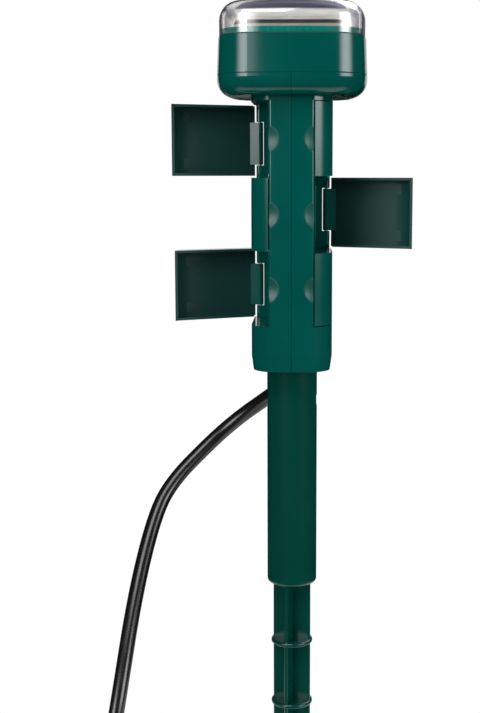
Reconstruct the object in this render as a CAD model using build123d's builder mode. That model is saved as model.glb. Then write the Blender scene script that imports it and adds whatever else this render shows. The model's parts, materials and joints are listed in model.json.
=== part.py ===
"""Garden socket spike: six covered outlets on a column, a timer head above, a stake below.

Millimetres. The origin is the tip of the ground spike, +Z is up, the front is -Y.
"""

import math
import os

from build123d import *

os.makedirs("parts", exist_ok=True)

# Heights, from the spike tip up
spike_length = 181.0
tube_length = 127.5
base_height = 25.2
row_count = 3
row_height = 39.9
row_gap = 1.0
collar_height = 2.6
bowl_height = 11.0
case_height = 20.0
dome_height = 18.4

# Column, seen from above
column_half = 22.5
column_front = 27.0
column_back = 32.7
ridge_fall = 1.4
block_half = 12.4
corner_run = 14.6
rear_radius = 5.0
block_radius = 1.5
block_depth = 4.5
core_half = 13.0
core_wall = 2.2
cavity_front = 17.2
cavity_back = 19.2

# Outlet covers and their hinges
cover_wall = 1.5
cover_edge = 12.75
cover_gap = 0.5
web_gap = 0.3
cover_open_angles = {("left", 0): 63.0, ("right", 1): 65.2, ("left", 2): 65.2}
hinge_x = 19.4
barrel_radius = 2.0
hinge_gap = 0.35
pin_radius = 1.0
pin_play = 0.05
pin_seat = 0.02
rear_stop = 2.4
arm_reach = 3.0
tall_lug = 9.3
short_lug = 6.4
boss_radius = 3.15
boss_height = 0.8
boss_from_edge = 12.7
boss_from_end = 6.7
notch_radius = 20.0
notch_out = 4.0
notch_forward = 18.4

# Outlet inserts
insert_y = 1.0
insert_width = 33.0
insert_height = 31.0
insert_proud = 0.3
insert_flange = 1.0
insert_fit = 0.1
insert_back = 6.5
insert_corner = 4.0
slot_spacing = 12.7
ground_drop = 11.9
slot_thickness = 1.9
neutral_slot = 8.2
hot_slot = 6.6
ground_hole = 2.55
chamber_end = 10.4

# Contact strips behind the inserts
strip_thickness = 0.8
strip_half = 4.4
leaf_height = 10.0
leaf_end = 9.4
leaf_play = 0.4
strip_overrun = 5.0

# Head
head_half = 41.5
side_bow = 130.0
side_run = 23.0
bowl_radius = 9.0
shell_wall = 2.4
case_top_inset = 0.8
case_seam = 0.3
deck_thickness = 2.0
deck_drop = 1.0
lip_inset = 3.4
lip_height = 3.7
lip_wall = 1.8
dome_inset = 0.6
dome_wall = 2.0
dome_radius = 9.0
gasket_height = 0.7
gasket_width = 1.6

# Hinge of the clear dome
dome_axis_out = 2.5
dome_axis_rise = 0.4
dome_barrel = 2.2
dome_knuckle = 22.0
dome_lug = 7.0
dome_side_gap = 0.3
lug_depth = 9.0
lug_root = 1.6
lug_fall = 1.5
dome_arm_height = 1.9

# Timer panel and its buttons
panel_half = 31.0
panel_corner = 11.0
panel_height = 8.0
shadow_gap = 0.8
shadow_inset = 1.4
face_height = 1.5
face_inset = 0.6
display_width = 34.0
display_depth = 15.0
display_y = 8.0
display_sink = 0.3
button_radius = 3.6
button_play = 0.15
button_rise = 1.3
button_travel = 0.8
button_pitch = 13.0
button_y = -13.0
button_flange = 0.9
button_flange_height = 1.0
button_stem = 1.4

# Board and relay inside the head
board_half = 24.0
board_thickness = 1.6
board_drop = 8.0
board_post_radius = 2.4
board_post_place = 19.5
relay_size = (19.0, 15.5, 15.0)
relay_place = (8.0, -4.0)

# Screws
screw_radius = 1.45
screw_play = 0.02
screw_head_radius = 2.7
screw_head_height = 1.9
screw_sink = 0.4
side_screw_length = 20.0
side_screw_front = -20.4
side_screw_back = 23.4
case_post_radius = 3.6
case_post_place = (28.0, 26.0)
case_screw_length = 14.0

# Stake tube and spike
tube_radius = 14.25
tube_wall = 2.7
tube_round = 2.6
tube_socket = 3.0
tube_fit = 0.15
neck_wall = 2.4
neck_length = 31.0
latch_drop = 19.5
latch_height = 6.0
latch_width = 6.0
latch_sunk = 0.6
latch_play = 0.2
fin_reach = 11.35
fin_thickness = 2.3
fin_turn = -18.0
ring_first = 70.1
ring_pitch = 37.6
ring_count = 3
ring_reach = 12.0
ring_thickness = 2.8
ring_round = 1.2
spike_taper = 60.0
spike_tip_radius = 0.9
spike_engagement = 38.0
spike_land = 3.0

# Supply cord, its strain relief and its plug
gland_drop = 19.5
gland_barrel = 6.2
gland_fit = 0.1
gland_flange = 8.6
gland_flange_thickness = 2.0
gland_inner = 6.0
boot_length = 22.0
boot_root = 7.2
boot_tip = 5.8
boot_groove = 1.2
boot_grooves = 5
cord_radius = 4.8
cord_drop = 289.0
cord_bends = [
    (0, 61, 289),
    (-6.5, 83, 283),
    (-19, 99.5, 271.5),
    (-36, 108.5, 258),
    (-54.5, 108.5, 242),
    (-82, 93, 215.5),
    (-91.5, 78, 194),
    (-100, 50, 153),
    (-106, 20.5, 101.5),
    (-111, 11.5, 69.5),
    (-114, 13, 48),
    (-115.5, 22.5, 28),
    (-116.5, 38.5, 13),
]
cord_bend_share = 0.45
coil_radius = 62.0
coil_pitch = 10.4
coil_step = 10.2
coil_left = -117.0
coil_middle_y = 89.6
coil_lead = 31.1
plug_radius = 14.5
plug_half_width = 13.6
plug_length = 22.0
plug_shoulder = 10.0
plug_neck = 8.4
plug_boot = 30.0
plug_edge = 1.5
blade_height = 6.35
blade_thickness = 1.5
blade_length = 16.5
blade_rise = 4.0
pin_prong_radius = 2.4
pin_prong_length = 19.5

# Walls and hollows of the base and the bowl
foot_height = 8.0
foot_inset = 1.1
base_cavity_half = 19.8
base_floor = 5.0
base_roof = 2.4
bowl_floor = 2.5
bowl_boss = 4.0

# Levels that follow from the heights
tube_bottom = spike_length
base_bottom = tube_bottom + tube_length
bay_bottom = base_bottom + base_height
row_pitch = row_height + row_gap
rows = [bay_bottom + cover_gap + row_height / 2 + row_pitch * i for i in range(row_count)]
bay_top = rows[-1] + row_height / 2 + cover_gap
head_bottom = bay_top + collar_height
case_bottom = head_bottom + bowl_height
case_top = case_bottom + case_height
dome_top = case_top + dome_height
latch_level = base_bottom - latch_drop
gland_level = base_bottom - gland_drop
ring_levels = [ring_first + ring_pitch * i for i in range(ring_count)]
hinge_y = column_back - barrel_radius
lug_front = hinge_y - barrel_radius
corner_start = -(column_front - ridge_fall) + corner_run
cover_rear = hinge_y - rear_stop
tube_top = base_bottom + tube_socket
neck_outer = tube_radius - tube_wall - tube_fit
neck_bottom = base_bottom - neck_length


def save(piece, name):
    """Label a finished piece and write it as its own file."""
    piece.part.label = name
    export_step(piece.part, f"parts/{name}.step")


def column_plan():
    """Outline of the base and collar: a ridge at the front seam, round sides, a flat back."""
    with BuildSketch() as plan:
        with BuildLine() as half:
            ridge = (0, -column_front)
            block_edge = (block_half, -column_front + ridge_fall)
            side = (column_half, corner_start)
            Line(ridge, block_edge)
            TangentArc(side, block_edge, tangent=(0, -1))
            Line(side, (column_half, column_back - rear_radius))
            TangentArc(
                (column_half, column_back - rear_radius),
                (column_half - rear_radius, column_back),
                tangent=(0, 1),
            )
            Line((column_half - rear_radius, column_back), (0, column_back))
            mirror(about=Plane.YZ)
        make_face()
    return plan.sketch


def core_plan():
    """Outline between the covers: narrow front block, outlet walls, back wall with hinge lugs."""
    with BuildSketch() as plan:
        with BuildLine():
            step = -column_front + block_depth
            Polyline(
                (0, -column_front),
                (block_half, -column_front + ridge_fall),
                (block_half, step),
                (core_half, step),
                (core_half, lug_front),
                (hinge_x, lug_front),
            )
            RadiusArc((hinge_x, lug_front), (hinge_x, column_back), -barrel_radius)
            Line((hinge_x, column_back), (0, column_back))
            mirror(about=Plane.YZ)
        make_face()
        front_corners = plan.vertices().group_by(Axis.Y)[1]
        fillet(front_corners, radius=block_radius)
    return plan.sketch


def head_plan(inset=0.0):
    """Rounded square with gently bowed sides, drawn in from the head's widest line."""
    half = head_half - inset
    run = side_run
    corner = half - (side_bow - math.sqrt(side_bow**2 - run**2))
    lean = math.degrees(math.asin(run / side_bow))
    chord = (corner - run) * math.sqrt(2)
    turn = chord / (2 * math.sin(math.radians(45 - lean)))
    with BuildSketch() as plan:
        with BuildLine():
            for quarter in range(4):
                spin = 90 * quarter
                start = Vector(-run, -corner).rotate(Axis.Z, spin)
                middle = Vector(0, -half).rotate(Axis.Z, spin)
                end = Vector(run, -corner).rotate(Axis.Z, spin)
                after = Vector(corner, -run).rotate(Axis.Z, spin)
                ThreePointArc(start, middle, end)
                RadiusArc(end, after, -turn)
        make_face()
    return plan.sketch


def insert_plan(grow=0.0):
    """Face of an outlet insert, seen from its side of the column."""
    with BuildSketch() as plan:
        RectangleRounded(insert_width + 2 * grow, insert_height + 2 * grow, insert_corner)
    return plan.sketch


def side_plane(distance, level, y=insert_y):
    """Plane that faces +X at a distance from the seam, with its Y axis up the column."""
    return Plane(origin=(distance, y, level), x_dir=(0, 1, 0), z_dir=(1, 0, 0))


# Lug lengths at each hinge: one moulding serves both sides, turned over on the left
knuckle_spans = {
    "right": (tall_lug, row_height - short_lug),
    "left": (short_lug, row_height - tall_lug),
}
side_signs = {"right": 1, "left": -1}
side_screw_spots = [(side_screw_back, base_bottom + base_height / 2)] + [
    (y, (lower + upper) / 2)
    for y in (side_screw_front, side_screw_back)
    for lower, upper in zip(rows, rows[1:])
]
case_screw_spots = [
    (x * case_post_place[0], y * case_post_place[1]) for x in (-1, 1) for y in (-1, 1)
]

# Inside of the head bowl
with BuildPart() as bowl_hollow:
    with BuildSketch(Plane.XY.offset(head_bottom + bowl_floor)):
        add(head_plan(shell_wall))
    extrude(amount=bowl_height)
    fillet(bowl_hollow.faces().sort_by(Axis.Z)[0].edges(), radius=bowl_radius - shell_wall)

# Head bowl: a rounded dish, open above
with BuildPart() as bowl:
    with BuildSketch(Plane.XY.offset(head_bottom)):
        add(head_plan())
    extrude(amount=bowl_height)
    fillet(bowl.faces().sort_by(Axis.Z)[0].edges(), radius=bowl_radius)
    chamfer(bowl.faces().sort_by(Axis.Z)[-1].edges(), length=case_seam)
    add(bowl_hollow.part, mode=Mode.SUBTRACT)

# Column, bowl and neck as one blank, split later at the front seam
with BuildPart() as housing_blank:
    with BuildSketch(Plane.XY.offset(base_bottom)):
        offset(column_plan(), amount=-foot_inset)
    with BuildSketch(Plane.XY.offset(base_bottom + foot_height)):
        add(column_plan())
    loft(ruled=True)
    with BuildSketch(Plane.XY.offset(base_bottom + foot_height)):
        add(column_plan())
    extrude(amount=base_height - foot_height)
    with BuildSketch(Plane.XY.offset(bay_bottom)):
        add(core_plan())
    extrude(amount=bay_top - bay_bottom)
    with BuildSketch(Plane.XY.offset(bay_top)):
        add(column_plan())
    extrude(amount=head_bottom + bowl_floor - bay_top)
    add(bowl.part)

    # Hollow of the base, then the shaft for inserts and contact strips up to the bowl
    with BuildSketch(Plane.XY.offset(base_bottom + base_floor)):
        with Locations((0, (cavity_back - cavity_front) / 2)):
            RectangleRounded(2 * base_cavity_half, cavity_front + cavity_back, insert_corner)
    extrude(amount=base_height - base_floor - base_roof, mode=Mode.SUBTRACT)
    with BuildSketch(Plane.XY.offset(base_bottom + base_floor)):
        with Locations((0, (cavity_back - cavity_front) / 2)):
            Rectangle(2 * (core_half - core_wall), cavity_front + cavity_back)
    extrude(amount=head_bottom + bowl_floor - base_bottom - base_floor, mode=Mode.SUBTRACT)

    # Seat for the stake tube and the neck that it slides over
    with BuildSketch(Plane.XY.offset(base_bottom)):
        Circle(tube_radius + tube_fit)
    extrude(amount=tube_socket, mode=Mode.SUBTRACT)
    with BuildSketch(Plane.XY.offset(neck_bottom)):
        Circle(neck_outer)
    extrude(amount=tube_top - neck_bottom)
    with BuildSketch(Plane.XY.offset(neck_bottom)):
        Circle(neck_outer - neck_wall)
    extrude(amount=base_bottom + base_floor - neck_bottom, mode=Mode.SUBTRACT)

    # Latches on the neck that click into the tube's windows
    with BuildSketch(Plane.XY.offset(latch_level - latch_height / 2 + latch_play)):
        Circle(tube_radius - latch_sunk)
        Rectangle(2 * tube_radius, latch_width - 2 * latch_play, mode=Mode.INTERSECT)
        Circle(neck_outer - neck_wall / 2, mode=Mode.SUBTRACT)
    extrude(amount=latch_height - 2 * latch_play)

    # Hole for the strain relief in the back of the neck
    with BuildSketch(Plane(origin=(0, 0, gland_level), z_dir=(0, 1, 0))):
        Circle(gland_barrel + gland_fit)
    extrude(amount=neck_outer, mode=Mode.SUBTRACT)

    for side, sign in side_signs.items():
        low, high = knuckle_spans[side]
        for row in rows:
            # Window for the outlet insert
            with BuildSketch(side_plane(0, row)):
                add(insert_plan(insert_fit))
            extrude(amount=sign * (core_half + insert_proud), mode=Mode.SUBTRACT)
            # Gap in the back wall where the cover's knuckle turns
            recess_left = hinge_x - barrel_radius - hinge_gap
            with BuildSketch(Plane.XY.offset(row - row_height / 2 + low - hinge_gap)):
                with Locations((sign * (recess_left + barrel_radius + hinge_gap), hinge_y)):
                    Rectangle(
                        2 * (barrel_radius + hinge_gap),
                        2 * (barrel_radius + hinge_gap),
                    )
            extrude(amount=high - low + 2 * hinge_gap, mode=Mode.SUBTRACT)
            # Thumb scoops in the edges of the front block
            notch_middle = (sign * (block_half + notch_out), ridge_fall - column_front - notch_forward, row)
            with Locations(notch_middle):
                Sphere(notch_radius, mode=Mode.SUBTRACT)

    # Bores for the hinge pins
    with BuildSketch(Plane.XY.offset(bay_bottom - cover_gap)):
        with Locations((-hinge_x, hinge_y), (hinge_x, hinge_y)):
            Circle(pin_radius + pin_seat)
    extrude(amount=bay_top - bay_bottom + 2 * cover_gap, mode=Mode.SUBTRACT)

    # Holes for the side screws and, in the bowl, for the case screws
    for y, level in side_screw_spots:
        outer = column_half if level < bay_bottom else core_half
        with BuildSketch(side_plane(-outer, level, y)):
            Circle(screw_radius + screw_play)
        extrude(amount=side_screw_length + screw_sink + screw_head_height, mode=Mode.SUBTRACT)
        with BuildSketch(side_plane(-outer, level, y)):
            Circle(screw_head_radius + screw_play)
        extrude(amount=screw_sink + screw_head_height, mode=Mode.SUBTRACT)
    with BuildSketch(Plane.XY.offset(head_bottom + bowl_floor)):
        with Locations(case_screw_spots):
            Circle(case_post_radius)
    extrude(amount=bowl_boss)
    with BuildSketch(Plane.XY.offset(head_bottom)):
        with Locations(case_screw_spots):
            Circle(screw_radius + screw_play)
    extrude(amount=bowl_height, mode=Mode.SUBTRACT)
    with BuildSketch(Plane.XY.offset(head_bottom)):
        with Locations(case_screw_spots):
            Circle(screw_head_radius + screw_play)
    extrude(amount=screw_sink + screw_head_height, mode=Mode.SUBTRACT)

with BuildPart() as left_housing:
    add(housing_blank.part)
    split(bisect_by=Plane.YZ, keep=Keep.BOTTOM)
save(left_housing, "left_housing")

with BuildPart() as right_housing:
    add(housing_blank.part)
    split(bisect_by=Plane.YZ, keep=Keep.TOP)
save(right_housing, "right_housing")


def cover_region(edge):
    """Everything inside the column's outline, from an edge out, that a shut cover closes off."""
    with BuildSketch() as plan:
        add(column_plan())
        with Locations(((edge + column_half) / 2, (cover_rear - column_front) / 2)):
            Rectangle(column_half - edge, cover_rear + column_front, mode=Mode.INTERSECT)
    return plan.sketch


def cover_skin_plan():
    """Curved wall of the cover."""
    with BuildSketch() as plan:
        add(cover_region(cover_edge))
        offset(column_plan(), amount=-cover_wall, mode=Mode.SUBTRACT)
    return plan.sketch


def cover_end_plan():
    """End web of the cover, cut back at the hinge so that it stands square when open."""
    web_edge = core_half + web_gap
    depth = column_half - web_edge
    lean = depth * math.tan(math.radians(90 - max(cover_open_angles.values())))
    with BuildSketch() as plan:
        add(cover_region(web_edge))
        with BuildLine():
            Polyline(
                (column_half, cover_rear),
                (web_edge, cover_rear - lean),
                (web_edge, cover_rear),
                close=True,
            )
        make_face(mode=Mode.SUBTRACT)
    return plan.sketch


def arm_plan():
    """Hinge arm: the barrel round the pin, carried forward to the cover's wall."""
    with BuildSketch() as plan:
        with Locations((hinge_x, hinge_y)):
            Circle(barrel_radius)
        with Locations((column_half - cover_wall / 2, cover_rear - arm_reach / 2)):
            Rectangle(cover_wall, arm_reach)
        make_hull()
        with Locations((hinge_x, hinge_y)):
            Circle(pin_radius + pin_play, mode=Mode.SUBTRACT)
    return plan.sketch


# Outlet cover, shut, on the right side with its lower end at zero height
boss_y = -column_front + boss_from_edge
with BuildPart() as cover_blank:
    with BuildSketch():
        add(cover_skin_plan())
    extrude(amount=row_height)
    for end in (0, row_height - cover_wall):
        with BuildSketch(Plane.XY.offset(end)):
            add(cover_end_plan())
        extrude(amount=cover_wall)
    for height in (boss_from_end, row_height - boss_from_end):
        with BuildSketch(side_plane(column_half - cover_wall - boss_height, height, boss_y)):
            Circle(boss_radius)
        extrude(amount=boss_height + cover_wall)
    with BuildSketch():
        add(cover_region(cover_edge))
    extrude(amount=row_height, mode=Mode.INTERSECT)

covers = {}
for side, sign in side_signs.items():
    low, high = knuckle_spans[side]
    for index, row in enumerate(rows):
        swing = cover_open_angles.get((side, index), 0)
        with BuildPart() as shut_cover:
            add(cover_blank.part)
            with BuildSketch(Plane.XY.offset(low)):
                add(arm_plan())
            extrude(amount=high - low)
        turned = shut_cover.part.rotate(Axis((hinge_x, hinge_y, 0), (0, 0, 1)), swing)
        placed = Pos(0, 0, row - row_height / 2) * turned
        with BuildPart() as cover:
            add(placed if sign > 0 else mirror(placed, about=Plane.YZ, mode=Mode.PRIVATE))
        save(cover, f"cover_{side}_{index + 1}")
        covers[side, index] = cover.part

# One pin per cover, seated in the lugs and free in the cover's barrel
with BuildPart() as cover_hinge_pins:
    for row in rows:
        with BuildSketch(Plane.XY.offset(row - row_height / 2)):
            with Locations((-hinge_x, hinge_y), (hinge_x, hinge_y)):
                Circle(pin_radius)
        extrude(amount=row_height)
save(cover_hinge_pins, "cover_hinge_pins")

# Outlet insert: face in the window, flange behind it, chambers for the contacts
slot_rise = ground_drop / 2
chamber_height = leaf_height + 2 * leaf_play
slot_chamber = blade_thickness + 2 * (strip_thickness + leaf_play)
ground_chamber = 2 * (pin_prong_radius + strip_thickness + leaf_play)
with BuildPart() as insert_blank:
    flange_front = core_half - core_wall
    with BuildSketch(side_plane(insert_back, 0)):
        RectangleRounded(
            insert_width + 2 * insert_flange,
            insert_height + 2 * insert_flange,
            insert_corner,
        )
    extrude(amount=flange_front - insert_back)
    with BuildSketch(side_plane(flange_front, 0)):
        add(insert_plan())
    extrude(amount=core_wall + insert_proud)
    chamfer(insert_blank.faces().sort_by(Axis.X)[-1].edges(), length=insert_proud)
    slots = ((-slot_spacing / 2, neutral_slot), (slot_spacing / 2, hot_slot))
    for place, height in slots:
        with BuildSketch(side_plane(insert_back, slot_rise, insert_y + place)):
            Rectangle(slot_chamber, chamber_height)
        extrude(amount=chamber_end - insert_back, mode=Mode.SUBTRACT)
        with BuildSketch(side_plane(insert_back, slot_rise, insert_y + place)):
            Rectangle(slot_thickness, height)
        extrude(amount=column_half, mode=Mode.SUBTRACT)
    with BuildSketch(side_plane(insert_back, -slot_rise)):
        Rectangle(ground_chamber, chamber_height)
    extrude(amount=chamber_end - insert_back, mode=Mode.SUBTRACT)
    with BuildSketch(side_plane(insert_back, -slot_rise)):
        Circle(ground_hole)
    extrude(amount=column_half, mode=Mode.SUBTRACT)

# On the left the same moulding is turned over, so facing blades pass above one another
for side, sign in side_signs.items():
    for index, row in enumerate(rows):
        with BuildPart() as outlet_insert:
            add(Pos(0, 0, row) * Rot(0, 0 if sign > 0 else 180, 0) * insert_blank.part)
        save(outlet_insert, f"outlet_insert_{side}_{index + 1}")


def contact_strip(place, rise, gap):
    """Brass strip up the shaft, with a saddle of two spring leaves into each insert."""
    middle = insert_y + place
    spread = gap / 2 + strip_thickness / 2
    low = rows[0] - slot_rise - leaf_height / 2 - strip_overrun
    high = rows[-1] + slot_rise + leaf_height / 2 + strip_overrun
    with BuildPart() as strip:
        with BuildSketch(Plane.XY.offset(low)):
            with Locations((0, middle + spread)):
                Rectangle(2 * strip_half, strip_thickness)
        extrude(amount=high - low)
        for sign in side_signs.values():
            reach = sign * (strip_half + leaf_end) / 2
            for row in rows:
                leaf_top = row + sign * rise + leaf_height / 2
                with BuildSketch(Plane.XY.offset(leaf_top)):
                    with Locations((reach, middle - spread), (reach, middle + spread)):
                        Rectangle(leaf_end - strip_half, strip_thickness)
                extrude(amount=-leaf_height)
                with BuildSketch(Plane.XY.offset(leaf_top)):
                    with Locations((reach, middle)):
                        Rectangle(leaf_end - strip_half, 2 * spread + strip_thickness)
                extrude(amount=-strip_thickness)
    return strip


save(contact_strip(-slot_spacing / 2, slot_rise, blade_thickness), "neutral_strip")
save(contact_strip(slot_spacing / 2, slot_rise, blade_thickness), "hot_strip")
save(contact_strip(0, -slot_rise, 2 * pin_prong_radius), "ground_strip")

# Timer case: band, deck, lip for the dome, posts for screws and board, lugs for the dome's hinge
deck_top = case_top - deck_drop
deck_bottom = deck_top - deck_thickness
lip_top = case_top + lip_height
band_back = head_half - case_top_inset
dome_axis_y = head_half + dome_axis_out
dome_axis_z = case_top + dome_axis_rise
board_top = deck_bottom - board_drop
with BuildPart() as case_hollow:
    with BuildSketch(Plane.XY.offset(case_bottom)):
        add(head_plan(shell_wall + case_top_inset))
    extrude(amount=deck_bottom - case_bottom)

with BuildPart() as timer_case:
    with BuildSketch(Plane.XY.offset(case_bottom)):
        add(head_plan())
    with BuildSketch(Plane.XY.offset(case_top)):
        add(head_plan(case_top_inset))
    loft(ruled=True)
    chamfer(timer_case.faces().sort_by(Axis.Z)[0].edges(), length=case_seam)
    with BuildSketch(Plane.XY.offset(case_top)):
        add(head_plan(lip_inset))
    extrude(amount=lip_height)
    with BuildSketch(Plane.XY.offset(deck_top)):
        add(head_plan(lip_inset + lip_wall))
    extrude(amount=lip_top - deck_top, mode=Mode.SUBTRACT)
    add(case_hollow.part, mode=Mode.SUBTRACT)
    with BuildSketch(Plane.XY.offset(head_bottom + bowl_floor + bowl_boss)):
        with Locations(case_screw_spots):
            Circle(case_post_radius)
    extrude(amount=deck_bottom - head_bottom - bowl_floor - bowl_boss)
    with BuildSketch(Plane.XY.offset(head_bottom + bowl_floor + bowl_boss)):
        with Locations(case_screw_spots):
            Circle(screw_radius + screw_play)
    extrude(amount=case_screw_length, mode=Mode.SUBTRACT)
    with BuildSketch(Plane.XY.offset(board_top)):
        with GridLocations(2 * board_post_place, 2 * board_post_place, 2, 2):
            Circle(board_post_radius)
    extrude(amount=deck_bottom - board_top)
    for sign in (-1, 1):
        inner = sign * (dome_knuckle / 2 + dome_side_gap)
        with BuildSketch(Plane(origin=(inner, 0, 0), x_dir=(0, 1, 0), z_dir=(1, 0, 0))):
            with Locations((dome_axis_y, dome_axis_z)):
                Circle(dome_barrel)
            with Locations((band_back - lug_root / 2, case_top - lug_fall - lug_depth / 2)):
                Rectangle(lug_root, lug_depth)
            make_hull()
            with Locations((dome_axis_y, dome_axis_z)):
                Circle(pin_radius + pin_seat, mode=Mode.SUBTRACT)
        extrude(amount=sign * dome_lug)
save(timer_case, "timer_case")

with BuildPart() as dome_hinge_pin:
    pin_half = dome_knuckle / 2 + dome_side_gap + dome_lug
    with BuildSketch(Plane(origin=(-pin_half, 0, 0), x_dir=(0, 1, 0), z_dir=(1, 0, 0))):
        with Locations((dome_axis_y, dome_axis_z)):
            Circle(pin_radius)
    extrude(amount=2 * pin_half)
save(dome_hinge_pin, "dome_hinge_pin")

# Seal between the case's ledge and the dome's rim
dome_outset = case_top_inset + dome_inset
with BuildPart() as dome_gasket:
    with BuildSketch(Plane.XY.offset(case_top)):
        add(head_plan(dome_outset + (dome_wall - gasket_width) / 2))
        add(head_plan(dome_outset + (dome_wall + gasket_width) / 2), mode=Mode.SUBTRACT)
    extrude(amount=gasket_height)
save(dome_gasket, "dome_gasket")

# Clear dome: a thin rounded lid with a hinge knuckle at the back
dome_bottom = case_top + gasket_height
with BuildPart() as dome_hollow:
    with BuildSketch(Plane.XY.offset(dome_bottom)):
        add(head_plan(dome_outset + dome_wall))
    extrude(amount=dome_top - dome_wall - dome_bottom)
    fillet(dome_hollow.faces().sort_by(Axis.Z)[-1].edges(), radius=dome_radius - dome_wall)

with BuildPart() as clear_dome:
    with BuildSketch(Plane.XY.offset(dome_bottom)):
        add(head_plan(dome_outset))
    extrude(amount=dome_top - dome_bottom)
    fillet(clear_dome.faces().sort_by(Axis.Z)[-1].edges(), radius=dome_radius)
    back_wall = head_half - dome_outset - dome_wall
    with BuildSketch(Plane(origin=(-dome_knuckle / 2, 0, 0), x_dir=(0, 1, 0), z_dir=(1, 0, 0))):
        with Locations((dome_axis_y, dome_axis_z)):
            Circle(dome_barrel)
        with Locations(((back_wall + dome_axis_y) / 2, dome_bottom + dome_arm_height / 2)):
            Rectangle(dome_axis_y - back_wall, dome_arm_height)
        with Locations((dome_axis_y, dome_axis_z)):
            Circle(pin_radius + pin_play, mode=Mode.SUBTRACT)
    extrude(amount=dome_knuckle)
    add(dome_hollow.part, mode=Mode.SUBTRACT)
save(clear_dome, "clear_dome")

# Timer panel, its face plate, the display window and four push buttons
panel_top = deck_top + panel_height
face_bottom = panel_top + shadow_gap
face_top = face_bottom + face_height
button_spots = [(button_pitch * (i - 1.5), button_y) for i in range(4)]
button_names = ("mode_button", "hour_button", "minute_button", "override_button")
pocket_radius = button_radius + button_flange + button_play
pocket_floor = face_bottom - button_flange_height - button_travel - button_stem
with BuildPart() as timer_panel:
    with BuildSketch(Plane.XY.offset(deck_top)):
        RectangleRounded(2 * panel_half, 2 * panel_half, panel_corner)
    extrude(amount=panel_height)
    with BuildSketch(Plane.XY.offset(panel_top)):
        RectangleRounded(
            2 * (panel_half - shadow_inset),
            2 * (panel_half - shadow_inset),
            panel_corner - shadow_inset,
        )
    extrude(amount=shadow_gap)
    with BuildSketch(Plane.XY.offset(pocket_floor)):
        with Locations(button_spots):
            Circle(pocket_radius)
    extrude(amount=face_bottom - pocket_floor, mode=Mode.SUBTRACT)
save(timer_panel, "timer_panel")

with BuildPart() as panel_face:
    with BuildSketch(Plane.XY.offset(face_bottom)):
        RectangleRounded(
            2 * (panel_half - face_inset),
            2 * (panel_half - face_inset),
            panel_corner - face_inset,
        )
        with Locations((0, display_y)):
            Rectangle(display_width, display_depth, mode=Mode.SUBTRACT)
        with Locations(button_spots):
            Circle(button_radius + button_play, mode=Mode.SUBTRACT)
    extrude(amount=face_height)
save(panel_face, "panel_face")

with BuildPart() as display_window:
    with BuildSketch(Plane.XY.offset(face_bottom)):
        with Locations((0, display_y)):
            Rectangle(display_width, display_depth)
    extrude(amount=face_height - display_sink)
save(display_window, "display_window")

for name, (x, y) in zip(button_names, button_spots):
    with BuildPart() as button:
        with BuildSketch(Plane.XY.offset(face_bottom - button_flange_height)):
            with Locations((x, y)):
                Circle(button_radius + button_flange)
        extrude(amount=button_flange_height)
        with BuildSketch(Plane.XY.offset(face_bottom)):
            with Locations((x, y)):
                Circle(button_radius)
        extrude(amount=face_height + button_rise)
        fillet(button.faces().sort_by(Axis.Z)[-1].edges(), radius=button_rise / 2)
        with BuildSketch(Plane.XY.offset(pocket_floor + button_travel + button_play)):
            with Locations((x, y)):
                Circle(button_stem)
        extrude(amount=button_stem - button_play)
    save(button, name)

# Control board on its posts, and the relay under it
with BuildPart() as control_board:
    with BuildSketch(Plane.XY.offset(board_top - board_thickness)):
        Rectangle(2 * board_half, 2 * board_half)
    extrude(amount=board_thickness)
save(control_board, "control_board")

with BuildPart() as relay:
    with BuildSketch(Plane.XY.offset(board_top - board_thickness - relay_size[2])):
        with Locations(relay_place):
            Rectangle(relay_size[0], relay_size[1])
    extrude(amount=relay_size[2])
    chamfer(relay.faces().sort_by(Axis.Z)[0].edges(), length=case_seam)
save(relay, "relay")

# Screws through the two column halves, from the left
with BuildPart() as side_screws:
    for y, level in side_screw_spots:
        outer = column_half if level < bay_bottom else core_half
        with BuildSketch(side_plane(-outer + screw_sink, level, y)):
            Circle(screw_head_radius)
        extrude(amount=screw_head_height)
        with BuildSketch(side_plane(-outer + screw_sink + screw_head_height, level, y)):
            Circle(screw_radius)
        extrude(amount=side_screw_length)
save(side_screws, "side_screws")

# Screws up through the bowl into the timer case
with BuildPart() as case_screws:
    with BuildSketch(Plane.XY.offset(head_bottom + screw_sink)):
        with Locations(case_screw_spots):
            Circle(screw_head_radius)
    extrude(amount=screw_head_height)
    with BuildSketch(Plane.XY.offset(head_bottom + screw_sink + screw_head_height)):
        with Locations(case_screw_spots):
            Circle(screw_radius)
    extrude(amount=case_screw_length)
save(case_screws, "case_screws")

# Stake tube with its latch windows and the hole for the cord's strain relief
with BuildPart() as stake_tube:
    with BuildSketch(Plane.XY.offset(tube_bottom)):
        Circle(tube_radius)
    extrude(amount=tube_top - tube_bottom)
    fillet(stake_tube.faces().sort_by(Axis.Z)[0].edges(), radius=tube_round)
    with BuildSketch(Plane.XY.offset(tube_bottom)):
        Circle(tube_radius - tube_wall)
    extrude(amount=tube_top - tube_bottom, mode=Mode.SUBTRACT)
    with BuildSketch(Plane.XY.offset(latch_level - latch_height / 2)):
        Rectangle(2 * (tube_radius + tube_wall), latch_width)
        Circle(neck_outer, mode=Mode.SUBTRACT)
    extrude(amount=latch_height, mode=Mode.SUBTRACT)
    with BuildSketch(Plane(origin=(0, 0, gland_level), z_dir=(0, 1, 0))):
        Circle(gland_barrel + gland_fit)
    extrude(amount=tube_radius + tube_wall, mode=Mode.SUBTRACT)
save(stake_tube, "stake_tube")

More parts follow.
